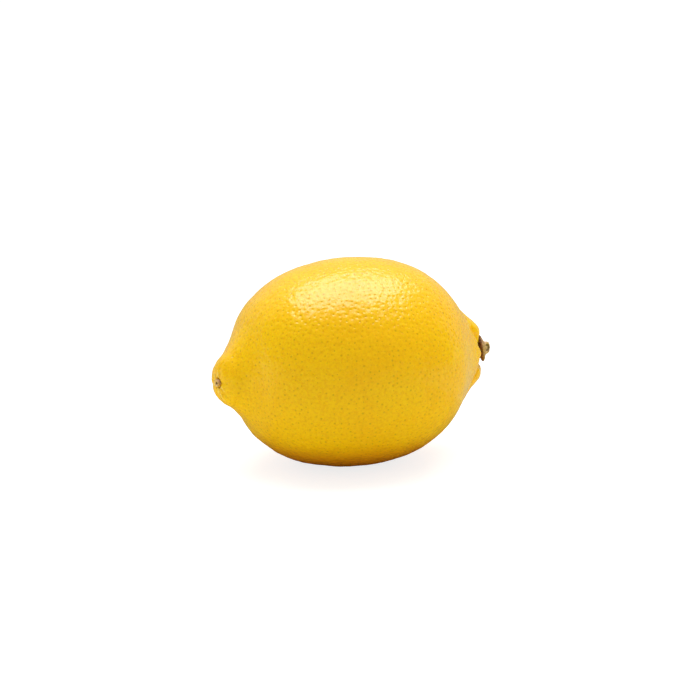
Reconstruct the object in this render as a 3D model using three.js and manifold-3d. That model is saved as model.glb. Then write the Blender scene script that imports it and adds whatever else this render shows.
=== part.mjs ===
// A whole ripe lemon, lying on its side on a small flat spot.
//
// Millimetres, +Z up. The fruit's axis runs along X: the blossom end with its nipple points to -X
// and the stem end to +X. The front is -Y. The origin is on the resting surface, at the middle of
// the bounding box. Angles round the axis are in degrees, from the top towards the front.

import * as THREE from 'three';
import { mergeVertices } from 'three/addons/utils/BufferGeometryUtils.js';
import Module from 'manifold-3d';

const wasm = await Module();
wasm.setup();

// ---- Driving dimensions ----

const GAP = 0.3; // clearance between pieces that touch
const FRUIT_STEPS = 80; // steps round the fruit
const STEPS_PER_SPAN = 4; // steps along the outline, between two of its points
const TRIM_STEPS = 40; // steps round the two small pieces
const SAME_PLACE = 1e-3; // vertices this close are one

// The fruit's outline before its ends bend: place along the axis, and radius there.
const FRUIT_OUTLINE = [
  [-39.5, 0],
  [-39.1, 3.7],
  [-37.5, 6.4],
  [-35.0, 8.4],
  [-31.6, 12.9],
  [-27.6, 19.5],
  [-18.5, 26.1],
  [-6, 29.3],
  [6, 29.3],
  [16, 27.1],
  [24, 22.9],
  [30.5, 16.7],
  [35.2, 10.0],
  [37.6, 7.0],
  [38.5, 4.4],
  [38.2, 2.4],
  [38.2, 0],
];

// Both ends bend towards the front, and the nipple hangs a little below the axis.
const NIPPLE_BEND = { from: -22, reach: 18, turn: 17 };
const STEM_BEND = { from: 25, reach: 14, turn: 20 };
const NIPPLE_DROOP = 2.1;
const NIPPLE_ROOT = [-39, -25]; // the droop is whole at the first place, and none at the second

// The collar of the stem end: blunt lobes that rise between creases. A crease lies at its angle
// near the button and swings round by its twist for each millimetre outwards. The lobe that follows
// it has this height, and fades away between these distances from the axis.
const COLLAR_LOBES = [
  { crease: 43, twist: -5, height: 1.2, fades: [7, 17] },
  { crease: 126, twist: 5, height: 1.9, fades: [12, 20] },
  { crease: 225, twist: 0, height: 1.1, fades: [8, 16] },
  { crease: 275, twist: 0, height: 1.0, fades: [8, 15] },
  { crease: 328, twist: 0, height: 1.1, fades: [8, 14] },
];
const COLLAR_INNER = [3.2, 6.5]; // the lobes rise between these distances from the axis
const TWIST_RANGE = [5, 10]; // the creases swing between these

// Shallow furrows that run from the tip of the nipple over its sides.
const NIPPLE_FURROWS = [8, 78, 132, 186, 250, 310];
const FURROW_DEPTH = 0.35;
const FURROW_WIDTH = 0.6;
const FURROW_START = [0.8, 2.0]; // they deepen between these distances from the axis
const FURROW_END = [2.0, 8.0]; // and die away between these

// The belly's slight unevenness: waves round it, which wind along the axis by one radian a pitch.
const SWELLS = [
  { count: 3, height: 0.3, pitch: 19, phase: 0.6 },
  { count: 5, height: 0.18, pitch: -13, phase: 2.1 },
];
const SWELL_RADII = [12, 26]; // no waves inside the first radius, whole ones outside the second

const FLAT_DEPTH = 0.4; // how far the resting side is pressed flat

// The stem button: neck in the fruit, flared calyx, and cut stub. Place along its axis, and radius.
const BUTTON_SEAT = 1.0; // how deep its neck goes into the fruit
const BUTTON_LIFT = 0.7; // how far above the fruit's axis it stands
const BUTTON_TILT = 7; // how far it points up from there
const NECK_RADIUS = 1.9;
const CALYX_RADIUS = 3.85;
const BUTTON_OUTLINE = [
  [-BUTTON_SEAT, 0],
  [-BUTTON_SEAT, NECK_RADIUS - 0.2],
  [0.4, NECK_RADIUS],
  [0.9, 2.7],
  [1.2, 3.6],
  [1.6, CALYX_RADIUS],
  [1.9, 3.4],
  [2.1, 2.5],
  [2.4, 1.9],
  [2.8, 1.75],
  [3.3, 1.7],
  [3.5, 1.3],
  [3.35, 0.85],
  [3.15, 0],
];
const CALYX_FLARE = [2.4, 3.6]; // its lobes show between these radii
const CALYX_LOBES = 5;
const CALYX_LOBE_DEPTH = 0.3;
const CALYX_LOBE_TURN = 0.8; // radians
const CALYX_WARP = 0.12; // how far the rim rises and falls, three times round
const STUB_SLANT = 0.35; // slope of the cut at the stub's end
const STUB_SLANT_RANGE = [2.2, 3.7]; // the slant grows between these places along the axis

// The dried base of the style, a little five-pointed plug with a hollow middle.
const STYLE_SEAT = 0.8; // how deep it goes into the nipple
const STYLE_RADIUS = 1.15;
const STYLE_OUTLINE = [
  [-STYLE_SEAT, 0],
  [-STYLE_SEAT, STYLE_RADIUS - 0.15],
  [-0.1, STYLE_RADIUS],
  [0.2, 1.35],
  [0.35, 1.05],
  [0.25, 0.6],
  [-0.05, 0.35],
  [-0.15, 0],
];
const STYLE_POINTS = 5;
const STYLE_POINT_HEIGHT = 0.18;
const STYLE_POINT_RANGE = [-0.2, 0.2]; // the points grow between these places along the axis

// ---- Helpers ----

const smooth = THREE.MathUtils.smoothstep;
const radians = THREE.MathUtils.degToRad;

// Angle round the axis of a point, in degrees from 0 to 360.
function angleRound(point) {
  const angle = THREE.MathUtils.radToDeg(Math.atan2(-point.y, point.z));
  return THREE.MathUtils.euclideanModulo(angle, 360);
}

// Shortest way round from one angle to another, in degrees.
function angleBetween(a, b) {
  return Math.abs(THREE.MathUtils.euclideanModulo(a - b + 180, 360) - 180);
}

function distanceFromAxis(point) {
  return Math.hypot(point.y, point.z);
}

function withSharedVertices(geometry) {
  geometry.deleteAttribute('normal');
  geometry.deleteAttribute('uv');
  return mergeVertices(geometry, SAME_PLACE);
}

// A closed surface of revolution about X, with no empty triangles at its poles.
function turned(outline, steps, stepsPerSpan) {
  const curve = new THREE.SplineCurve(outline.map(([along, radius]) => new THREE.Vector2(radius, along)));
  const points = curve.getPoints((outline.length - 1) * stepsPerSpan);
  points.forEach((point) => point.setX(Math.max(point.x, 0)));
  const lathe = new THREE.LatheGeometry(points, steps).rotateZ(-Math.PI / 2);
  const merged = withSharedVertices(lathe);
  const corners = merged.index.array;
  const kept = [];
  for (let i = 0; i < corners.length; i += 3) {
    const [a, b, c] = corners.slice(i, i + 3);
    if (a !== b && b !== c && c !== a) {
      kept.push(a, b, c);
    }
  }
  merged.setIndex(kept);
  merged.computeVertexNormals();
  return merged;
}

// Moves each vertex by a function of its place and its normal.
function reshape(geometry, move) {
  const positions = geometry.attributes.position;
  const normals = geometry.attributes.normal;
  const point = new THREE.Vector3();
  const normal = new THREE.Vector3();
  for (let i = 0; i < positions.count; i += 1) {
    point.fromBufferAttribute(positions, i);
    normal.fromBufferAttribute(normals, i);
    move(point, normal);
    positions.setXYZ(i, point.x, point.y, point.z);
  }
  geometry.computeVertexNormals();
  return geometry;
}

// Turns a point towards the front, by more the further it lies beyond the place where the bend
// begins. The middle line leaves that place as a cubic curve, and each cross section turns with it.
function bendPoint(point, { from, reach, turn }) {
  const outward = Math.sign(from);
  const share = Math.max((point.x - from) * outward, 0) / reach;
  const angle = radians(turn) * share ** 2;
  point.x += outward * point.y * Math.sin(angle);
  point.y = point.y * Math.cos(angle) - (share * reach * angle) / 3;
}

function settlePoint(point) {
  point.z -= NIPPLE_DROOP * (1 - smooth(point.x, ...NIPPLE_ROOT));
  bendPoint(point, NIPPLE_BEND);
  bendPoint(point, STEM_BEND);
}

// The place and direction that an end of the axis has once the fruit has bent.
function endFrame(along) {
  const tip = new THREE.Vector3(along, 0, 0);
  const behind = new THREE.Vector3(along - 0.01 * Math.sign(along), 0, 0);
  settlePoint(tip);
  settlePoint(behind);
  const outward = tip.clone().sub(behind).normalize();
  const turn = new THREE.Quaternion().setFromUnitVectors(new THREE.Vector3(1, 0, 0), outward);
  return new THREE.Matrix4().compose(tip, turn, new THREE.Vector3(1, 1, 1));
}

function toSolid(geometry) {
  const vertProperties = Float32Array.from(geometry.attributes.position.array);
  const triVerts = Uint32Array.from(geometry.index.array);
  return new wasm.Manifold(new wasm.Mesh({ numProp: 3, vertProperties, triVerts }));
}

function toGeometry(solid) {
  const { vertProperties, triVerts } = solid.getMesh();
  const geometry = new THREE.BufferGeometry();
  geometry.setAttribute('position', new THREE.BufferAttribute(vertProperties, 3));
  geometry.setIndex(new THREE.BufferAttribute(triVerts, 1));
  geometry.computeVertexNormals();
  return geometry;
}

function namedMesh(name, geometry, color, roughness) {
  const mesh = new THREE.Mesh(geometry, new THREE.MeshStandardMaterial({ color, roughness, metalness: 0 }));
  mesh.name = name;
  return mesh;
}

// ---- The fruit ----

// Height of the collar's lobes: blunt between the creases, and none at them. A point before the
// first crease is on the last lobe, which runs past the top.
function collarRelief(point) {
  const angle = angleRound(point);
  const distance = distanceFromAxis(point);
  const swing = THREE.MathUtils.clamp(distance, ...TWIST_RANGE) - TWIST_RANGE[0];
  const creases = COLLAR_LOBES.map(({ crease, twist }) => crease + twist * swing);
  const lobe = creases.findLastIndex((crease) => angle >= crease);
  const start = creases.at(lobe);
  const end = creases[(lobe + 1) % creases.length];
  const width = THREE.MathUtils.euclideanModulo(end - start, 360);
  const share = THREE.MathUtils.euclideanModulo(angle - start, 360) / width;
  const { height, fades } = COLLAR_LOBES.at(lobe);
  const rise = smooth(distance, ...COLLAR_INNER) * (1 - smooth(distance, ...fades));
  return height * Math.sqrt(Math.sin(Math.PI * share)) * rise;
}

function furrowRelief(point) {
  const angle = angleRound(point);
  const distance = distanceFromAxis(point);
  const reach = smooth(distance, ...FURROW_START) * (1 - smooth(distance, ...FURROW_END));
  let depth = 0;
  for (const furrow of NIPPLE_FURROWS) {
    const aside = radians(angleBetween(angle, furrow)) * distance;
    depth += FURROW_DEPTH * Math.exp(-((aside / FURROW_WIDTH) ** 2));
  }
  return -depth * reach;
}

function swellRelief(point) {
  const angle = radians(angleRound(point));
  let height = 0;
  for (const swell of SWELLS) {
    height += swell.height * Math.sin(swell.count * angle + point.x / swell.pitch + swell.phase);
  }
  return height * smooth(distanceFromAxis(point), ...SWELL_RADII);
}

function fruitSurface() {
  const surface = turned(FRUIT_OUTLINE, FRUIT_STEPS, STEPS_PER_SPAN);
  reshape(surface, (point, normal) => {
    const relief = point.x > 0 ? collarRelief(point) : furrowRelief(point);
    point.addScaledVector(normal, relief + swellRelief(point));
  });
  return reshape(surface, settlePoint);
}

// The hole that a small piece's foot stands in, a gap wider and deeper than the foot.
function socket(radius, depth, frame) {
  const outline = [
    [-depth - GAP, 0],
    [-depth - GAP, radius + GAP],
    [depth, radius + GAP],
    [depth, 0],
  ];
  const points = outline.map(([along, out]) => new THREE.Vector2(out, along));
  const lathe = new THREE.LatheGeometry(points, TRIM_STEPS).rotateZ(-Math.PI / 2);
  return toSolid(withSharedVertices(lathe).applyMatrix4(frame));
}

function pressedFlat(solid) {
  const { min, max } = solid.boundingBox();
  const size = max[0] - min[0];
  const below = new THREE.BoxGeometry(size, size, size);
  below.translate(0, 0, min[2] + FLAT_DEPTH - size / 2);
  return solid.subtract(toSolid(withSharedVertices(below)));
}

// ---- The small pieces, each standing on its own X axis ----

function stemButton() {
  const button = turned(BUTTON_OUTLINE, TRIM_STEPS, 2);
  return reshape(button, (point) => {
    const angle = radians(angleRound(point));
    const flare = smooth(distanceFromAxis(point), ...CALYX_FLARE);
    const notch = 1 - Math.cos(CALYX_LOBES * angle + CALYX_LOBE_TURN);
    const spread = 1 - (CALYX_LOBE_DEPTH / CALYX_RADIUS) * flare * notch;
    const slant = STUB_SLANT * smooth(point.x, ...STUB_SLANT_RANGE);
    point.x += slant * point.y + CALYX_WARP * flare * Math.sin(3 * angle);
    point.y *= spread;
    point.z *= spread;
  });
}

function styleRemnant() {
  const plug = turned(STYLE_OUTLINE, TRIM_STEPS, 2);
  return reshape(plug, (point) => {
    const angle = radians(angleRound(point));
    const grown = smooth(point.x, ...STYLE_POINT_RANGE);
    const spread = 1 + STYLE_POINT_HEIGHT * Math.cos(STYLE_POINTS * angle) * grown;
    point.y *= spread;
    point.z *= spread;
  });
}

// ---- The lemon ----

function lemon() {
  const tipFrame = endFrame(FRUIT_OUTLINE[0][0]);
  const stemFrame = endFrame(FRUIT_OUTLINE.at(-1)[0])
    .multiply(new THREE.Matrix4().makeTranslation(0, 0, BUTTON_LIFT))
    .multiply(new THREE.Matrix4().makeRotationY(radians(-BUTTON_TILT)));
  const body = pressedFlat(toSolid(fruitSurface()))
    .subtract(socket(NECK_RADIUS, BUTTON_SEAT, stemFrame))
    .subtract(socket(STYLE_RADIUS, STYLE_SEAT, tipFrame));

  const fruit = namedMesh('fruit', toGeometry(body), 0xf2c40c, 0.42);
  const button = namedMesh('stem_button', stemButton(), 0x8a6a3c, 0.85);
  const style = namedMesh('style_remnant', styleRemnant(), 0xb98a5c, 0.85);
  button.applyMatrix4(stemFrame);
  style.applyMatrix4(tipFrame);

  const group = new THREE.Group();
  group.name = 'lemon';
  group.add(fruit, button, style);
  const box = new THREE.Box3().setFromObject(group);
  const middle = box.getCenter(new THREE.Vector3());
  group.position.set(-middle.x, -middle.y, -box.min.z);
  return group;
}

export default lemon();
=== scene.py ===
"""A whole ripe lemon lying on its side, with its dry stem button and the dried base of its style."""

import math

import bpy
from mathutils import Matrix, Vector


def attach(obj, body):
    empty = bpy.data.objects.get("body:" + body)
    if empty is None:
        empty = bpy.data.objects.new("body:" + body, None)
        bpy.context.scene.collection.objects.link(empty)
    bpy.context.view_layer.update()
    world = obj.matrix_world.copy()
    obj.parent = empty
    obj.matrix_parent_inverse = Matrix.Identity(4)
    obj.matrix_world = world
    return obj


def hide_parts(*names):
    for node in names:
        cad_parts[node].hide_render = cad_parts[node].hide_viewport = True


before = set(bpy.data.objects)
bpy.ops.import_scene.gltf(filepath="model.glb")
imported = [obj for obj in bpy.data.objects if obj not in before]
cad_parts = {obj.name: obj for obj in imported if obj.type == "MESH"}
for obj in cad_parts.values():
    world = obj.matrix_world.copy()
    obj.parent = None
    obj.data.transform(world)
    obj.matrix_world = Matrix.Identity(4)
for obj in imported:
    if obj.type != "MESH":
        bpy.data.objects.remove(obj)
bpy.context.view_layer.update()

MM = 0.001
UP = Vector((0, 0, 1))
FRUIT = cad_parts["fruit"]

# ---- Places on the fruit, in metres ----

# The middle of the fruit, before its ends bend.
FRUIT_MIDDLE = Vector((-0.001613, -0.000335, 0.028916))


class End:
    """One end of the fruit: the middle of it, the way it faces, and its top and front."""

    def __init__(self, tip, faces, socket):
        self.tip = Vector(tip)
        self.faces = Vector(faces).normalized()
        self.socket = socket  # radius of the hole that its small piece stands in
        self.front = UP.cross(self.faces).normalized()
        if self.front.y > 0:
            self.front.negate()
        self.top = self.faces.cross(self.front)
        if self.top.z < 0:
            self.top.negate()


# The ends of the fruit's axis, where its two small pieces stand.
NIPPLE = End((-0.041113, -0.001971, 0.026816), (-0.9628, -0.2701, 0), 1.45 * MM)
STEM = End((0.036587, -0.001700, 0.029616), (0.9480, -0.2942, 0.1219), 2.2 * MM)

# Lines on the two ends, in millimetres up and to the front of the axis: where each starts and ends.
# Thin ridges run out from the style's scar, and creases part the lobes of the stem's collar.
RIDGES = [
    ((1.5, -0.2), (5.0, -0.8)),
    ((-0.9, 1.3), (-2.4, 3.5)),
    ((-2.9, 1.3), (-6.4, 2.9)),
    ((-1.8, -0.2), (-4.4, -0.5)),
    ((-0.7, -1.5), (-1.8, -3.9)),
    ((0.9, -1.4), (2.6, -3.6)),
]
CREASES = [
    ((3.2, 4.9), (9.6, 4.2)),
    ((-2.9, 4.7), (-8.8, 5.4)),
    ((-3.0, -3.4), (-7.6, -7.2)),
    ((0.4, -4.5), (1.6, -9.8)),
    ((3.9, -2.4), (8.6, -4.6)),
]
# Blunt tops of the collar's lobes, in millimetres: where each is, its reach and its height.
KNOBS = [((5.6, 0.6), 3.0, 0.2), ((-5.1, 0.6), 2.2, 0.55), ((0.2, 6.0), 2.6, 0.3)]

WIND_SIZE = 2.6 * MM  # how long a bend of such a line is
# Places along an end's axis, behind its tip, where its marks start and where they are whole.
END_FADE = (-9 * MM, -6 * MM)


# ---- Small tools of the bench ----


def only(piece):
    """Selects one piece and nothing else."""
    bpy.ops.object.select_all(action="DESELECT")
    piece.select_set(True)
    bpy.context.view_layer.objects.active = piece


def start_editing(piece, chosen=None, kind="FACE"):
    """Goes into edit mode with the faces, or vertices, selected that chosen(centre, normal) picks."""
    only(piece)
    mesh = piece.data
    for part in (mesh.vertices, mesh.edges, mesh.polygons):
        part.foreach_set("select", [chosen is None] * len(part))
    if chosen and kind == "FACE":
        mesh.polygons.foreach_set("select", [chosen(p.center, p.normal) for p in mesh.polygons])
    elif chosen:
        mesh.vertices.foreach_set("select", [chosen(v.co, v.normal) for v in mesh.vertices])
    bpy.ops.object.mode_set(mode="EDIT")
    bpy.ops.mesh.select_mode(type=kind)


def stop_editing():
    bpy.ops.object.mode_set(mode="OBJECT")


def finish_with(piece, kind, **settings):
    """Adds a modifier with these settings and applies it."""
    only(piece)
    modifier = piece.modifiers.new(kind.title(), kind)
    for name, value in settings.items():
        setattr(modifier, name, value)
    bpy.ops.object.modifier_apply(modifier=modifier.name)


def finish_with_nodes(piece, tree):
    """Adds a Geometry Nodes modifier with this tree and applies it."""
    only(piece)
    modifier = piece.modifiers.new(tree.name, "NODES")
    modifier.node_group = tree
    bpy.ops.object.modifier_apply(modifier=modifier.name)


class Bench:
    """Adds nodes to a tree, each joined to what feeds it."""

    def __init__(self, tree):
        self.tree = tree

    def add(self, kind, feeds=None, **settings):
        made = self.tree.nodes.new(kind)
        for name, value in settings.items():
            setattr(made, name, value)
        for name, value in (feeds or {}).items():
            self.feed(made.inputs[name], value)
        return made

    def feed(self, socket, value):
        if isinstance(value, bpy.types.NodeSocket):
            self.tree.links.new(value, socket)
        else:
            socket.default_value = value

    def maths(self, operation, *values):
        """One Math node."""
        made = self.add("ShaderNodeMath", operation=operation)
        for socket, value in zip(made.inputs, values):
            self.feed(socket, value)
        return made.outputs[0]

    def times(self, a, b):
        return self.maths("MULTIPLY", a, b)

    def plus(self, a, b):
        return self.maths("ADD", a, b)

    def less(self, a, b):
        return self.maths("SUBTRACT", a, b)

    def vector(self, operation, *values):
        """One Vector Math node."""
        made = self.add("ShaderNodeVectorMath", operation=operation)
        for socket, value in zip(made.inputs, values):
            self.feed(socket, value)
        return made

    def along(self, vector, direction):
        return self.vector("DOT_PRODUCT", vector, direction).outputs["Value"]

    def length(self, vector):
        return self.vector("LENGTH", vector).outputs["Value"]

    def distance(self, a, b):
        return self.vector("DISTANCE", a, b).outputs["Value"]

    def scaled(self, vector, factor):
        return self.add("ShaderNodeVectorMath", {0: vector, "Scale": factor}, operation="SCALE").outputs[0]

    def ramp(self, value, low, high, out_low=0.0, out_high=1.0):
        """Goes smoothly from out_low to out_high as value goes from low to high."""
        feeds = {"Value": value, "From Min": low, "From Max": high, "To Min": out_low, "To Max": out_high}
        return self.add("ShaderNodeMapRange", feeds, interpolation_type="SMOOTHSTEP").outputs["Result"]

    def noise(self, place, size, detail=2.0, roughness=0.5):
        """A cloudy value about 0.5, whose patches are about this size."""
        feeds = {"Vector": place, "Scale": 1 / size, "Detail": detail, "Roughness": roughness}
        return self.add("ShaderNodeTexNoise", feeds, noise_dimensions="3D").outputs[0]

    def blend(self, share, first, second):
        """Goes from the first colour to the second as share goes from 0 to 1."""
        made = self.add("ShaderNodeMix", data_type="RGBA")
        inputs = [socket for socket in made.inputs if socket.type == "RGBA"]
        self.feed(made.inputs[0], share)
        for socket, colour in zip(inputs, (first, second)):
            self.feed(socket, (*colour, 1) if isinstance(colour, tuple) else colour)
        return [socket for socket in made.outputs if socket.type == "RGBA"][0]


def on_end(bench, place, end):
    """A place on an end of the fruit: up and to the front, from its axis, and out along it."""
    aside = bench.vector("SUBTRACT", place, end.tip).outputs[0]
    feeds = {"X": bench.along(aside, end.top), "Y": bench.along(aside, end.front)}
    return bench.add("ShaderNodeCombineXYZ", feeds).outputs[0], bench.along(aside, end.faces)


def ring_on_end(bench, flat, radius, outer, inner):
    """1 on a ring about an end's axis, less from the inner distance beside it, and 0 at the outer."""
    return bench.ramp(bench.maths("ABSOLUTE", bench.less(bench.length(flat), radius)), outer, inner)


def near_lines(bench, flat, lines, width, drift):
    """1 at the start of each line on an end of the fruit, less towards its end and its sides.

    The lines wind to and fro by about this drift.
    """
    feeds = {"Vector": flat, "Scale": 1 / WIND_SIZE, "Detail": 1.0}
    wind = bench.add("ShaderNodeTexNoise", feeds).outputs["Color"]
    wind = bench.vector("SUBTRACT", wind, (0.5, 0.5, 0.5)).outputs[0]
    spread = 6 * drift  # the noise mostly stays within a sixth of its middle
    wind = bench.vector("MULTIPLY", wind, (spread, spread, 0)).outputs[0]
    flat = bench.vector("ADD", flat, wind).outputs[0]
    strongest = 0.0
    for start, end in lines:
        start = Vector((*start, 0)) * MM
        reach = Vector((*end, 0)) * MM - start
        aside = bench.vector("SUBTRACT", flat, start).outputs[0]
        share = bench.along(aside, reach / reach.length_squared)
        share = bench.maths("MINIMUM", bench.maths("MAXIMUM", share, 0.0), 1.0)
        beside = bench.distance(aside, bench.scaled(reach, share))
        here = bench.times(bench.ramp(beside, width, 0.0), bench.ramp(share, 1.0, 0.25))
        strongest = bench.maths("MAXIMUM", strongest, here)
    return strongest


# ---- Relief ----

# Size and height of each kind of swelling between the oil glands.
PEBBLES = [(9 * MM, 0.26 * MM), (3.4 * MM, 0.24 * MM), (1.6 * MM, 0.16 * MM)]
GLAND_PITCH = 1.25 * MM  # the least space between two glands
GLAND_CANDIDATES = 4e6  # a square metre, far more than there is room for
PIT_DEPTH = 0.055 * MM
PIT_RADIUS = 0.5 * MM

RIDGE_HEIGHT = 0.18 * MM
RIDGE_WIDTH = 0.42 * MM
RIDGE_DRIFT = 0.3 * MM
# The style's scar dips in a moat, and once more in a hollow: the radii where it starts and ends.
MOAT_RADII = (1.75 * MM, 1.25 * MM)
MOAT_DEPTH = 0.4 * MM
HOLLOW_RADII = (1.1 * MM, 0.8 * MM)
HOLLOW_DEPTH = 0.45 * MM

CREASE_DEPTH = 1.2 * MM
CREASE_WIDTH = 2.6 * MM
CREASE_DRIFT = 0.45 * MM

ABOVE_FLOOR = (-1, -1, 0)  # the least of each coordinate: the floor's height, and far to the sides


def geometry_tree(name):
    tree = bpy.data.node_groups.new(name, "GeometryNodeTree")
    tree.interface.new_socket("Geometry", in_out="INPUT", socket_type="NodeSocketGeometry")
    tree.interface.new_socket("Geometry", in_out="OUTPUT", socket_type="NodeSocketGeometry")
    bench = Bench(tree)
    return bench, bench.add("NodeGroupInput").outputs[0]


def pushed(bench, geometry, height):
    """The geometry with each point moved along its normal."""
    push = bench.scaled(bench.add("GeometryNodeInputNormal").outputs[0], height)
    return bench.add("GeometryNodeSetPosition", {"Geometry": geometry, "Offset": push}).outputs[0]


def ends_relief(bench, place):
    """Height of the scar's ridges and hollow, and of the collar's creases and lobes."""
    flat, out = on_end(bench, place, NIPPLE)
    distance = bench.length(flat)
    ridges = bench.times(near_lines(bench, flat, RIDGES, RIDGE_WIDTH, RIDGE_DRIFT), RIDGE_HEIGHT)
    moat = bench.ramp(distance, *MOAT_RADII, 0.0, -MOAT_DEPTH)
    hollow = bench.ramp(distance, *HOLLOW_RADII, 0.0, -HOLLOW_DEPTH)
    scar = bench.plus(ridges, bench.plus(moat, hollow))
    height = bench.times(scar, bench.ramp(out, *END_FADE))
    flat, out = on_end(bench, place, STEM)
    collar = bench.times(near_lines(bench, flat, CREASES, CREASE_WIDTH, CREASE_DRIFT), -CREASE_DEPTH)
    for spot, reach, rise in KNOBS:
        aside = bench.distance(flat, Vector((*spot, 0)) * MM)
        collar = bench.plus(collar, bench.ramp(aside, reach * MM, 0.0, 0.0, rise * MM))
    return bench.plus(height, bench.times(collar, bench.ramp(out, *END_FADE)))


def peel_relief():
    """Swells the skin in pebbles, spaces oil glands evenly over it and dips it over each gland."""
    bench, skin = geometry_tree("Peel Relief")
    place = bench.add("GeometryNodeInputPosition").outputs[0]
    height = ends_relief(bench, place)
    for size, rise in PEBBLES:
        height = bench.plus(height, bench.times(bench.less(bench.noise(place, size, 1.0), 0.5), rise))
    swollen = pushed(bench, skin, height)
    glands = bench.add(
        "GeometryNodeDistributePointsOnFaces",
        {"Mesh": swollen, "Distance Min": GLAND_PITCH, "Density Max": GLAND_CANDIDATES, "Seed": 4},
        distribute_method="POISSON",
    )
    nearest = bench.add("GeometryNodeProximity", {0: glands.outputs["Points"]}, target_element="POINTS")
    # Each face keeps the place of its gland, for the peel's colours.
    marked = bench.add(
        "GeometryNodeStoreNamedAttribute",
        {"Geometry": swollen, "Name": "gland_place", "Value": nearest.outputs["Position"]},
        data_type="FLOAT_VECTOR",
        domain="FACE",
    )
    pit = bench.ramp(nearest.outputs["Distance"], PIT_RADIUS, 0.0)
    dipped = pushed(bench, marked.outputs[0], bench.times(pit, -PIT_DEPTH))
    on_floor = bench.vector("MAXIMUM", place, ABOVE_FLOOR).outputs[0]
    resting = bench.add("GeometryNodeSetPosition", {"Geometry": dipped, "Position": on_floor}).outputs[0]
    bench.add("NodeGroupOutput", {"Geometry": resting})
    return bench.tree


def dry_relief(size, rise):
    """Wrinkles a dry piece."""
    bench, surface = geometry_tree("Dry Wrinkles")
    place = bench.add("GeometryNodeInputPosition").outputs[0]
    height = bench.times(bench.less(bench.noise(place, size, 3.0, 0.6), 0.5), rise)
    bench.add("NodeGroupOutput", {0: pushed(bench, surface, height)})
    return bench.tree


# ---- The rind ----

SAME_PLACE = 0.01 * MM  # vertices this close are one
SOCKET_MARGIN = 0.03 * MM
SOCKET_REACH = 3 * MM

# The rind starts as a cube, which is cut into a grid, rounded, stretched and laid on the fruit.
BLANK_SIDE = 50 * MM
BLANK_CUTS = 14
BLANK_STRETCH = (0.95, 0.68, 0.68)
FIRST_ROUNDS = 20  # of settling
FINER_ROUNDS = (8, 5, 3)  # of settling, each after all faces are cut in four
# The nipple's faces are cut in four once more within each of these radii of its axis.
FINEST_RADII = (6.5 * MM, 2.4 * MM)
FINEST_REACH = 5 * MM


def inside(place, end, radius, reach):
    """True where a point lies in a short cylinder about an end's axis."""
    aside = place - end.tip
    along = aside.dot(end.faces)
    return abs(along) < reach and (aside - along * end.faces).length < radius


def wrapping_form():
    """The fruit's solid with its two sockets closed and its facets rounded off."""
    form = bpy.data.objects.new("Form", FRUIT.data.copy())
    bpy.context.collection.objects.link(form)
    start_editing(form)
    bpy.ops.mesh.remove_doubles(threshold=SAME_PLACE)
    stop_editing()

    def in_socket(centre, normal):
        return any(inside(centre, end, end.socket + SOCKET_MARGIN, SOCKET_REACH) for end in (NIPPLE, STEM))

    start_editing(form, in_socket)
    bpy.ops.mesh.delete(type="FACE")
    bpy.ops.mesh.select_all(action="SELECT")
    bpy.ops.mesh.fill_holes(sides=0)
    bpy.ops.mesh.select_all(action="SELECT")
    bpy.ops.mesh.tris_convert_to_quads()
    bpy.ops.mesh.normals_make_consistent(inside=False)
    stop_editing()
    finish_with(form, "SUBSURF", levels=2, render_levels=2)
    return form


def cut_in_four(skin, chosen=None):
    start_editing(skin, chosen)
    bpy.ops.mesh.subdivide(number_cuts=1, smoothness=0)
    stop_editing()


def lay_on(skin, form):
    finish_with(skin, "SHRINKWRAP", target=form, wrap_method="NEAREST_SURFACEPOINT")


def settle(skin, form, rounds):
    """Spreads the skin's faces evenly and lays it back on the form, again and again."""
    for _ in range(rounds):
        finish_with(skin, "SMOOTH", factor=0.5, iterations=2)
        lay_on(skin, form)


def rind():
    """The whole peel, from the nipple's scar to the stem's collar."""
    form = wrapping_form()
    bpy.ops.object.select_all(action="DESELECT")
    bpy.ops.mesh.primitive_cube_add(size=BLANK_SIDE, location=FRUIT_MIDDLE)
    skin = bpy.context.object
    skin.name = skin.data.name = "Rind"
    bpy.ops.object.transform_apply(location=True, rotation=True, scale=True)
    start_editing(skin)
    bpy.ops.mesh.subdivide(number_cuts=BLANK_CUTS)
    bpy.ops.transform.tosphere(value=1.0)
    bpy.ops.transform.resize(value=BLANK_STRETCH, center_override=FRUIT_MIDDLE)
    stop_editing()
    lay_on(skin, form)
    settle(skin, form, FIRST_ROUNDS)
    for rounds in FINER_ROUNDS:
        cut_in_four(skin)
        settle(skin, form, rounds)
    for radius in FINEST_RADII:
        cut_in_four(skin, lambda centre, normal: inside(centre, NIPPLE, radius, FINEST_REACH))
    settle(skin, form, 1)
    bpy.data.objects.remove(form)
    finish_with_nodes(skin, peel_relief())
    bpy.ops.object.shade_smooth()
    return skin


# ---- The small dry pieces ----

# Each is turned ring by ring. Place along its axis and radius, in millimetres.
BUTTON_RINGS = [
    (-1.0, 1.7), (-0.9, 1.85), (0.4, 1.9), (1.0, 2.7), (1.3, 3.5), (1.55, 3.85), (1.85, 3.95),
    (2.1, 3.75), (2.3, 3.2), (2.45, 2.6), (2.6, 2.05), (2.85, 1.8), (3.1, 1.78), (3.35, 1.85),
    (3.5, 1.65), (3.52, 1.35), (3.38, 1.1), (3.15, 0.9), (3.1, 0.6), (3.22, 0.35), (3.27, 0.12),
]
PLUG_RINGS = [
    (-0.8, 0.8), (-0.7, 0.85), (-0.2, 0.95), (0.05, 1.1), (0.2, 1.16), (0.32, 1.05),
    (0.36, 0.85), (0.28, 0.62), (0.05, 0.42), (-0.12, 0.3), (-0.15, 0.1),
]

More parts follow.
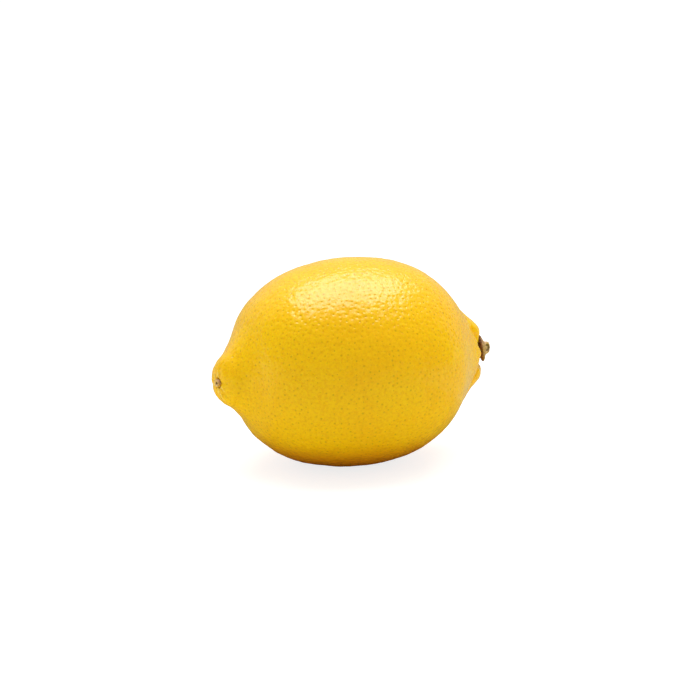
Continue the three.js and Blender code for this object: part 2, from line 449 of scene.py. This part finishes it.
# Turns of the notches round each piece, in degrees from its top.
CALYX_NOTCHES = (20, 95, 160, 238, 310)
PLUG_NOTCHES = (36, 108, 180, 252, 324)

# The calyx is pressed down on its upper side, above this height and past this distance.
CALYX_BACK_HEIGHT = 1.0 * MM
CALYX_UPPER_SIDE = 2.4 * MM
CALYX_PRESSED = 0.25 * MM
# The stub's cut slants to the front, about this height. What is above its foot turns with it.
STUB_SLANT = math.radians(32)
STUB_MIDDLE = 3.2 * MM
STUB_FOOT = 2.9 * MM


def turned(name, rings, count):
    """A closed round form on the Z axis, raised and widened ring by ring."""
    (height, radius), *others = [(along * MM, out * MM) for along, out in rings]
    bpy.ops.object.select_all(action="DESELECT")
    place = (0, 0, height)
    bpy.ops.mesh.primitive_circle_add(vertices=count, radius=radius, fill_type="NGON", location=place)
    piece = bpy.context.object
    piece.name = piece.data.name = name
    bpy.ops.object.transform_apply(location=True, rotation=True, scale=True)
    start_editing(piece)
    for along, out in others:
        bpy.ops.mesh.extrude_region_move(TRANSFORM_OT_translate={"value": (0, 0, along - height)})
        scale = out / radius
        bpy.ops.transform.resize(value=(scale, scale, 1), center_override=(0, 0, along))
        height, radius = along, out
    bpy.ops.mesh.select_all(action="SELECT")
    bpy.ops.mesh.normals_make_consistent(inside=False)
    stop_editing()
    return piece


def notched(piece, turns, span, low, high, scale):
    """Draws the rim in at each of these turns, this many degrees to both sides, between two heights."""

    def in_notch(place, normal):
        angle = math.degrees(math.atan2(place.y, place.x))
        near = any(abs((angle - turn + 180) % 360 - 180) < span for turn in turns)
        return near and low < place.z < high

    start_editing(piece, in_notch, "VERT")
    bpy.ops.transform.resize(value=(scale, scale, 1), center_override=(0, 0, 0))
    stop_editing()


def stand_on(piece, end):
    """Stands a piece made on the Z axis on an end of the fruit, its X axis to the top."""
    only(piece)
    side = end.faces.cross(end.top)
    turn = Matrix((end.top, side, end.faces)).transposed().to_4x4()
    piece.matrix_world = Matrix.Translation(end.tip) @ turn
    bpy.ops.object.transform_apply(location=True, rotation=True, scale=True)
    bpy.ops.object.shade_smooth()


def stem_button():
    """The dry neck, five-lobed calyx and cut stub that stay on the stem end."""
    piece = turned("Stem_Button", BUTTON_RINGS, count=40)
    notched(piece, CALYX_NOTCHES, span=7, low=0.9 * MM, high=2.35 * MM, scale=0.87)

    def on_upper_side(place, normal):
        return place.z > CALYX_BACK_HEIGHT and place.x > CALYX_UPPER_SIDE

    start_editing(piece, on_upper_side, "VERT")
    bpy.ops.transform.translate(value=(0, 0, -CALYX_PRESSED))
    stop_editing()
    start_editing(piece, lambda place, normal: place.z > STUB_FOOT, "VERT")
    bpy.ops.transform.rotate(value=STUB_SLANT, orient_axis="X", center_override=(0, 0, STUB_MIDDLE))
    stop_editing()
    finish_with(piece, "SUBSURF", levels=2, render_levels=2)
    finish_with_nodes(piece, dry_relief(size=0.7 * MM, rise=0.35 * MM))
    stand_on(piece, STEM)
    return piece


def style_plug():
    """The dry five-pointed base of the style, hollow in the middle."""
    piece = turned("Style_Remnant", PLUG_RINGS, count=30)
    notched(piece, PLUG_NOTCHES, span=13, low=-0.1 * MM, high=0.4 * MM, scale=0.84)
    finish_with(piece, "SUBSURF", levels=2, render_levels=2)
    finish_with_nodes(piece, dry_relief(size=0.5 * MM, rise=0.4 * MM))
    stand_on(piece, NIPPLE)
    return piece


# ---- Materials ----


def new_material(name):
    material = bpy.data.materials.new(name)
    material.use_nodes = True
    material.node_tree.nodes.clear()
    return material, Bench(material.node_tree)


def finished(bench, shader):
    bench.add("ShaderNodeOutputMaterial", {"Surface": shader.outputs[0]})


# Colours of the peel, and the size of their patches.
RIPE_YELLOW = (0.99, 0.56, 0.0)
PALER_YELLOW = (1.0, 0.605, 0.0)
TINT_SIZE = 16 * MM
FLECK_YELLOW = (0.88, 0.455, 0.0)
FLECK_SIZE = 0.7 * MM
GLAND_GREEN = (0.65, 0.38, 0.0)
GLAND_RADII = (0.24 * MM, 0.46 * MM)  # of the smallest and the largest
# Painted shade: the peel turns darker and orange low on the fruit, for the shade and the fruit's own bounced
# light near the floor.
UNDERSIDE_PAINTED_SHADE = (0.82, 0.27, 0.0)
UNDERSIDE_HEIGHTS = (13 * MM, 3 * MM)  # where it starts and where it is whole
# Painted highlight: pale cream along the ridges that run out from the style's scar.
RIDGE_PAINTED_HIGHLIGHT = (1.0, 0.71, 0.22)
# Painted shade: dark brown in the moat about the style's scar, broken in places.
CREVICE_PAINTED_SHADE = (0.15, 0.06, 0.01)
CREVICE_RADIUS = 1.3 * MM
CREVICE_BREAKS = 1.5 * MM
# Painted shade: deeper orange in the floor of the collar's creases.
CREASE_PAINTED_SHADE = (0.97, 0.42, 0.0)

# What is added to the rind's own relief: size and height.
SWELLS = (1.3 * MM, 0.14 * MM)
GRAIN = (0.5 * MM, 0.042 * MM)
DENTS = (0.52 * MM, -0.06 * MM)


def gland_stain(bench, place, gland):
    """How strongly each gland stains the peel about it. Glands differ in size and in strength."""
    size = bench.noise(gland, 1.0 * MM, 0.0)
    radius = bench.ramp(size, 0.3, 0.7, *GLAND_RADII)
    pore = bench.ramp(bench.maths("DIVIDE", bench.distance(place, gland), radius), 1.0, 0.2)
    strength = bench.ramp(bench.noise(gland, 1.7 * MM, 0.0), 0.3, 0.7, 0.25, 1.0)
    return bench.times(pore, strength)


def colour_ends(bench, place, shade):
    """Paints a highlight along the scar's ridges, painted shade in the brown crevice about the scar, and
    painted orange shade in the floor of the collar's creases.
    """
    flat, out = on_end(bench, place, NIPPLE)
    here = bench.ramp(out, *END_FADE)
    # Painted highlight along the scar's ridges.
    ridge_highlight = bench.times(near_lines(bench, flat, RIDGES, RIDGE_WIDTH, RIDGE_DRIFT), here)
    shade = bench.blend(ridge_highlight, shade, RIDGE_PAINTED_HIGHLIGHT)
    # Painted shade in the moat about the scar, broken into patches.
    broken = bench.ramp(bench.noise(place, CREVICE_BREAKS, 2.0, 0.6), 0.45, 0.60)
    ring = ring_on_end(bench, flat, CREVICE_RADIUS, 0.4 * MM, 0.1 * MM)
    crevice_shade = bench.times(bench.times(ring, broken), here)
    shade = bench.blend(bench.times(crevice_shade, 0.9), shade, CREVICE_PAINTED_SHADE)
    # Painted shade in the floor of the collar's creases.
    flat, out = on_end(bench, place, STEM)
    crease_shade = near_lines(bench, flat, CREASES, CREASE_WIDTH, CREASE_DRIFT)
    crease_shade = bench.times(crease_shade, bench.ramp(out, *END_FADE))
    return bench.blend(bench.times(crease_shade, 0.6), shade, CREASE_PAINTED_SHADE)


def peel_material():
    """Waxy yellow peel, with greenish glands, and painted shade that turns it darker and orange towards the
    underside.
    """
    material, bench = new_material("Waxy Peel")
    place = bench.add("ShaderNodeTexCoord").outputs["Object"]
    gland = bench.add("ShaderNodeAttribute", attribute_name="gland_place").outputs["Vector"]

    tint = bench.noise(place, TINT_SIZE, 2.0)
    shade = bench.blend(bench.ramp(tint, 0.35, 0.65), RIPE_YELLOW, PALER_YELLOW)
    fleck = bench.noise(place, FLECK_SIZE, 3.0, 0.7)
    shade = bench.blend(bench.ramp(fleck, 0.40, 0.70, 0.0, 0.8), shade, FLECK_YELLOW)
    shade = bench.blend(bench.times(gland_stain(bench, place, gland), 0.85), shade, GLAND_GREEN)
    # Painted shade: darker and orange towards the floor, below these heights.
    low = bench.ramp(bench.along(place, UP), *UNDERSIDE_HEIGHTS)
    shade = bench.blend(bench.times(low, 0.85), shade, UNDERSIDE_PAINTED_SHADE)
    shade = colour_ends(bench, place, shade)

    size, rise = SWELLS
    swells = bench.times(bench.noise(place, size, 0.0), rise)
    size, rise = GRAIN
    grain = bench.times(bench.noise(place, size, 2.0, 0.6), rise)
    size, rise = DENTS
    dents = bench.times(bench.ramp(bench.distance(place, gland), size, 0.0), rise)
    height = bench.plus(bench.plus(swells, grain), dents)
    bump = bench.add("ShaderNodeBump", {"Height": height, "Strength": 1.0, "Distance": 1.0})
    shader = bench.add(
        "ShaderNodeBsdfPrincipled",
        {
            "Base Color": shade,
            "Roughness": 0.24,
            "IOR": 1.5,
            "Specular IOR Level": 0.60,
            "Subsurface Weight": 0.15,
            "Subsurface Radius": (1.0, 0.5, 0.1),
            "Subsurface Scale": 1.0 * MM,
            "Normal": bump.outputs[0],
        },
    )
    finished(bench, shader)
    return material


# Colours of the dry pieces, dark and light by their grain, and of the marks on them.
# The calyx's back is painted darker than its face: painted shade where it faces the fruit.
CALYX_BACK_PAINTED_SHADE = ((0.10, 0.04, 0.018), (0.36, 0.16, 0.075))
CALYX_FACE = ((0.25, 0.13, 0.055), (0.68, 0.42, 0.21))
STUB_WOOD = ((0.43, 0.26, 0.14), (0.93, 0.65, 0.42))
CUT_RING_BROWN = (0.09, 0.05, 0.02)
CORK = ((0.58, 0.32, 0.17), (1.0, 0.68, 0.46))
CORK_EDGE_BROWN = (0.22, 0.10, 0.035)
# Painted shade: dark brown in the hollow pit of the style's base.
CORK_PIT_PAINTED_SHADE = (0.07, 0.045, 0.035)

STEM_GRAIN = 0.55 * MM
CORK_GRAIN = 0.4 * MM
# Heights on the stem button between which one colour gives way to the next.
BACK_TO_FACE = (1.6 * MM, 2.1 * MM)
FACE_TO_STUB = (2.5 * MM, 2.9 * MM)
STUB_TO_CUT = (2.6 * MM, 2.8 * MM)
CUT_RING_RADIUS = 0.8 * MM


def dry_grain():
    """A group of nodes for dry woody skin: its light and dark flecks, and the height of its fibres."""
    tree = bpy.data.node_groups.new("Dry Grain", "ShaderNodeTree")
    for name, kind in (("Place", "NodeSocketVector"), ("Size", "NodeSocketFloat")):
        tree.interface.new_socket(name, in_out="INPUT", socket_type=kind)
    for name in ("Shade", "Height"):
        tree.interface.new_socket(name, in_out="OUTPUT", socket_type="NodeSocketFloat")
    bench = Bench(tree)
    given = bench.add("NodeGroupInput").outputs
    place = bench.scaled(given["Place"], bench.maths("DIVIDE", 1.0, given["Size"]))
    blotches = bench.noise(place, 1.0, 2.0)
    fibres = bench.noise(place, 0.35, 4.0, 0.65)
    shade = bench.plus(bench.times(blotches, 0.55), bench.times(fibres, 0.45))
    height = bench.times(bench.plus(bench.times(blotches, 0.5), fibres), given["Size"])
    bench.add("NodeGroupOutput", {"Shade": bench.ramp(shade, 0.34, 0.66), "Height": height})
    return tree


DRY_GRAIN = dry_grain()


def grained(bench, place, size):
    """The shade and the height of dry grain of this size."""
    group = bench.add("ShaderNodeGroup", {"Place": place, "Size": size}, node_tree=DRY_GRAIN)
    return group.outputs["Shade"], group.outputs["Height"]


def dry_shader(bench, shade, height, strength):
    bump = bench.add("ShaderNodeBump", {"Height": height, "Strength": 1.0, "Distance": strength})
    settings = {"Base Color": shade, "Roughness": 0.85, "IOR": 1.4, "Normal": bump.outputs[0]}
    return bench.add("ShaderNodeBsdfPrincipled", settings)


def stem_material():
    """Dry wood: the calyx painted darker at its back, a painted shade where it faces the fruit, and the stub
    paler, with a dark ring in its cut.
    """
    material, bench = new_material("Dry Stem")
    place = bench.add("ShaderNodeTexCoord").outputs["Object"]
    flat, out = on_end(bench, place, STEM)
    grain, height = grained(bench, place, STEM_GRAIN)
    shaded_calyx_back, calyx_face, stub = (bench.blend(grain, *pair) for pair in (CALYX_BACK_PAINTED_SHADE, CALYX_FACE, STUB_WOOD))
    # Painted shade: the calyx darker at its back.
    shade = bench.blend(bench.ramp(out, *BACK_TO_FACE), shaded_calyx_back, calyx_face)
    shade = bench.blend(bench.ramp(out, *FACE_TO_STUB), shade, stub)
    ring = ring_on_end(bench, flat, CUT_RING_RADIUS, 0.35 * MM, 0.12 * MM)
    cut = bench.times(ring, bench.ramp(out, *STUB_TO_CUT))
    shade = bench.blend(bench.times(cut, 0.75), shade, CUT_RING_BROWN)
    finished(bench, dry_shader(bench, shade, height, 0.5))
    return material


def style_material():
    """Dry cork, darker at its edge, with painted shade in its uneven pit."""
    material, bench = new_material("Dry Style")
    place = bench.add("ShaderNodeTexCoord").outputs["Object"]
    distance = bench.length(on_end(bench, place, NIPPLE)[0])
    grain, height = grained(bench, place, CORK_GRAIN)
    shade = bench.blend(grain, *CORK)
    edge = bench.ramp(distance, 0.95 * MM, 1.15 * MM)
    shade = bench.blend(bench.times(edge, 0.4), shade, CORK_EDGE_BROWN)
    uneven = bench.plus(distance, bench.times(bench.less(grain, 0.5), 0.25 * MM))
    # Painted shade in the hollow pit, its edge made uneven by the grain.
    pit = bench.ramp(uneven, 0.55 * MM, 0.25 * MM)
    shade = bench.blend(bench.times(pit, 0.85), shade, CORK_PIT_PAINTED_SHADE)
    finished(bench, dry_shader(bench, shade, height, 0.4))
    return material


# ---- The lemon ----


def dressed(piece, material, node):
    """Gives a finished piece its material and its place in the frame."""
    piece.data.materials.clear()
    piece.data.materials.append(material)
    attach(piece, "root")
    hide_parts(node)


dressed(rind(), peel_material(), "fruit")
dressed(stem_button(), stem_material(), "stem_button")
dressed(style_plug(), style_material(), "style_remnant")

# ---- Camera ----

# It looks at the fruit's front, from round towards the nipple, and down.
CAMERA_AZIMUTH = math.radians(-19.5)
CAMERA_ELEVATION = math.radians(15)
CAMERA_DISTANCE = 0.6
PIXELS_ACROSS = 700
PIXELS_PER_METRE = 3520
SENSOR = 36
# It aims this far to the right of the fruit's middle and above it, in millimetres.
AIM_RIGHT = 0.156
AIM_UPWARD = 3.338

# Directions as the camera has them: back to it, to its right, away from it over the floor, and up.
back = Vector((
    math.sin(CAMERA_AZIMUTH) * math.cos(CAMERA_ELEVATION),
    -math.cos(CAMERA_AZIMUTH) * math.cos(CAMERA_ELEVATION),
    math.sin(CAMERA_ELEVATION),
))
right = Vector((math.cos(CAMERA_AZIMUTH), math.sin(CAMERA_AZIMUTH), 0))
away = Vector((-math.sin(CAMERA_AZIMUTH), math.cos(CAMERA_AZIMUTH), 0))
upward = back.cross(right)
aim = FRUIT_MIDDLE + right * AIM_RIGHT * MM + upward * AIM_UPWARD * MM


def set_up_camera():
    camera_data = bpy.data.cameras.new("Camera")
    camera = bpy.data.objects.new("Camera", camera_data)
    bpy.context.scene.collection.objects.link(camera)
    camera_data.sensor_width = SENSOR
    camera_data.lens = SENSOR * CAMERA_DISTANCE * PIXELS_PER_METRE / PIXELS_ACROSS
    camera_data.clip_start = 0.01
    camera_data.clip_end = 50
    camera.location = aim + back * CAMERA_DISTANCE
    camera.rotation_euler = back.to_track_quat("Z", "Y").to_euler()
    bpy.context.scene.camera = camera
    bpy.context.scene.view_settings.view_transform = "Standard"


# ---- Floor and light ----

BEHIND = (away * 0.9 + UP * 0.43).normalized()
BEHIND_RIGHT = (right * 0.75 + away * 0.66).normalized()
BEHIND_LEFT = (right * -0.75 + away * 0.66).normalized()

FLOOR_SIDE = 12
PAPER = (0.86, 0.86, 0.25)
SIDE_GLOW = (0.90, 0.90, 0.28)
SIDE_GLOW_FROM = (0.034, 0.060)  # where it starts and is whole, to the left and right
# The paper in the fruit's gloss, below the fruit and beyond it, and where the far paper starts and
# is whole, on the right and on the left.
NEAR_SHEEN = (0.12, 0.12, 0.12)
FAR_SHEEN = (0.32, 0.32, 0.32)
FAR_ON_RIGHT = (0.035, 0.065)
FAR_ON_LEFT = (0.05, 0.08)

ROOM_LIGHT = (0.38, 0.57)  # from the camera's side, and from the other
BACK_WALL = 0.56
SIDE_WALL = 0.5
BACKDROP = 1.1

SOFTBOX_SIZE = (1.15, 0.77)
SOFTBOX_PLACE = right * 0.03 + away * 0.19 + UP * 1.0
SOFTBOX_TARGET = Vector((0, 0, 0.03))
SOFTBOX_YAW = math.radians(-15)
SOFTBOX_WATTS = 11.5


def by_ray(bench, seen, mirrored, lighting):
    """Shows the first shader to the camera and the second in gloss, and lights things with the third."""
    path = bench.add("ShaderNodeLightPath").outputs
    feeds = {0: path["Is Glossy Ray"], 1: lighting.outputs[0], 2: mirrored.outputs[0]}
    unseen = bench.add("ShaderNodeMixShader", feeds)
    feeds = {0: path["Is Camera Ray"], 1: unseen.outputs[0], 2: seen.outputs[0]}
    return bench.add("ShaderNodeMixShader", feeds)


def floor_material():
    """White paper that lights the fruit from below as paper does, and hardly shows its own shade."""
    material, bench = new_material("Pale Floor")
    material.cycles.emission_sampling = "NONE"
    place = bench.add("ShaderNodeTexCoord").outputs["Object"]

    bright = bench.add("ShaderNodeBsdfDiffuse", {"Color": (0.40, 0.40, 0.40, 1)})
    glow = bench.add("ShaderNodeEmission", {"Color": (1, 1, 1, 1), "Strength": 0.80})
    seen = bench.add("ShaderNodeAddShader", {0: bright.outputs[0], 1: glow.outputs[0]})

    far = bench.maths(
        "MAXIMUM",
        bench.ramp(bench.along(place, BEHIND_RIGHT), *FAR_ON_RIGHT),
        bench.ramp(bench.along(place, BEHIND_LEFT), *FAR_ON_LEFT),
    )
    mirrored = bench.add("ShaderNodeBsdfDiffuse", {"Color": bench.blend(far, NEAR_SHEEN, FAR_SHEEN)})

    # The paper is lit more strongly to the left and right of the fruit.
    paper = bench.add("ShaderNodeBsdfDiffuse", {"Color": (*PAPER, 1)})
    beside = bench.ramp(bench.maths("ABSOLUTE", bench.along(place, right)), *SIDE_GLOW_FROM)
    glowing = bench.blend(beside, (0.0, 0.0, 0.0), SIDE_GLOW)
    sides = bench.add("ShaderNodeEmission", {"Color": glowing, "Strength": 0.50})
    lighting = bench.add("ShaderNodeAddShader", {0: paper.outputs[0], 1: sides.outputs[0]})

    finished(bench, by_ray(bench, seen, mirrored, lighting))
    return material


def lay_floor():
    bpy.ops.object.select_all(action="DESELECT")
    bpy.ops.mesh.primitive_plane_add(size=FLOOR_SIDE, location=(0, 0, 0))
    floor = bpy.context.object
    floor.name = "Floor"
    floor.data.materials.append(floor_material())


def light_room():
    """An even pale room lights the fruit. In the fruit's gloss, only the walls behind it shine."""
    world = bpy.data.worlds.new("Studio")
    bpy.context.scene.world = world
    world.use_nodes = True
    world.cycles.sampling_method = "NONE"
    world.node_tree.nodes.clear()
    bench = Bench(world.node_tree)
    direction = bench.add("ShaderNodeTexCoord").outputs["Generated"]
    back_wall = bench.ramp(bench.along(direction, BEHIND), 0.2, 1.0, 0.0, BACK_WALL)
    side_wall = bench.ramp(bench.along(direction, BEHIND_RIGHT), 0.92, 0.98, 0.0, SIDE_WALL)
    walls = bench.maths("MAXIMUM", back_wall, side_wall)
    around = bench.ramp(bench.along(direction, away), -1.0, 0.3, *ROOM_LIGHT)
    seen, mirrored, lighting = (
        bench.add("ShaderNodeBackground", {"Color": (1, 1, 1, 1), "Strength": strength})
        for strength in (BACKDROP, walls, around)
    )
    bench.add("ShaderNodeOutputWorld", {"Surface": by_ray(bench, seen, mirrored, lighting).outputs[0]})


def hang_softbox():
    """The one lamp, above the fruit and a little behind it."""
    bpy.ops.object.light_add(type="AREA", location=SOFTBOX_PLACE)
    softbox = bpy.context.object
    softbox.name = "Softbox"
    softbox.data.shape = "RECTANGLE"
    softbox.data.size, softbox.data.size_y = SOFTBOX_SIZE
    softbox.data.energy = SOFTBOX_WATTS
    faces_up = (SOFTBOX_PLACE - SOFTBOX_TARGET).normalized()
    length = Vector((math.cos(SOFTBOX_YAW), math.sin(SOFTBOX_YAW), 0))
    width = faces_up.cross(length).normalized()
    softbox.rotation_euler = Matrix((width.cross(faces_up), width, faces_up)).transposed().to_euler()


lay_floor()
set_up_camera()
light_room()
hang_softbox()
